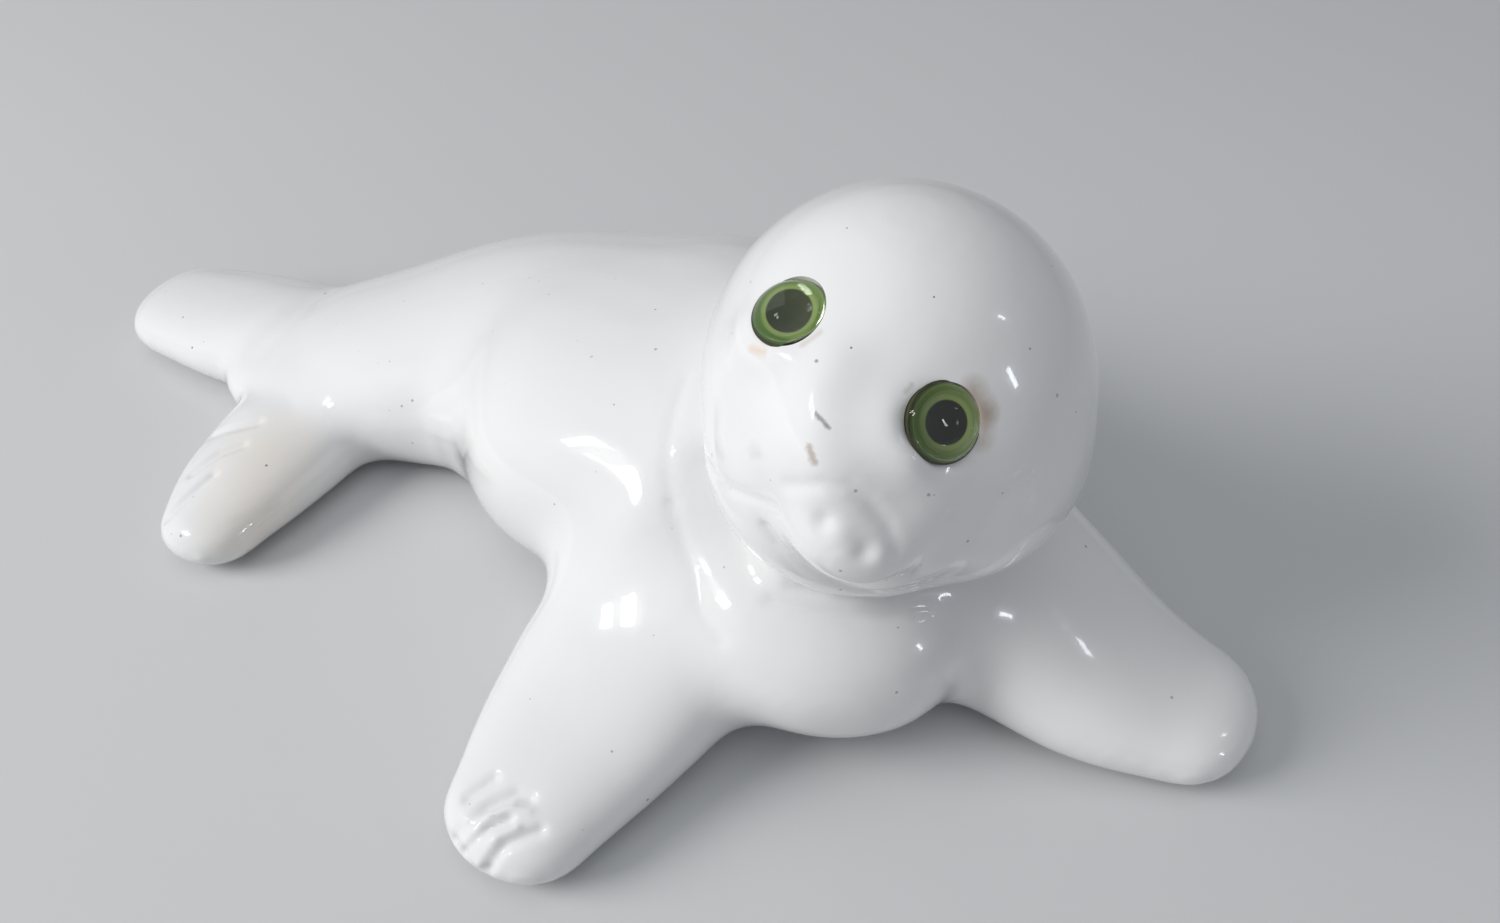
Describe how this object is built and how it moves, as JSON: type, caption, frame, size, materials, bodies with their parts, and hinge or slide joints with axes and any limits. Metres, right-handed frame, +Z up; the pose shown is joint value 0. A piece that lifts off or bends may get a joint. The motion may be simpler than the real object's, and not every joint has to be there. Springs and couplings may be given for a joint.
{
  "type": "seal figurine",
  "caption": "Glossy white ceramic seal pup lying curled with raised round head, spread flippers and domed green glass eyes.",
  "frame": {"origin": "centre of the footprint's bounding box, on the table under the figurine", "axes": "+X along the longest side, from the hind flippers towards the left front flipper; the chest faces -Y; +Z up from the table"},
  "size_m": [0.214, 0.144, 0.085],
  "materials": {
    "white_glaze": "glossy white ceramic glaze",
    "green_glass": "polished green glass with a dark pupil"
  },
  "bodies": {
    "root": {"body": "white_glaze", "right_eye": "green_glass", "left_eye": "green_glass"}
  },
  "joints": []
}
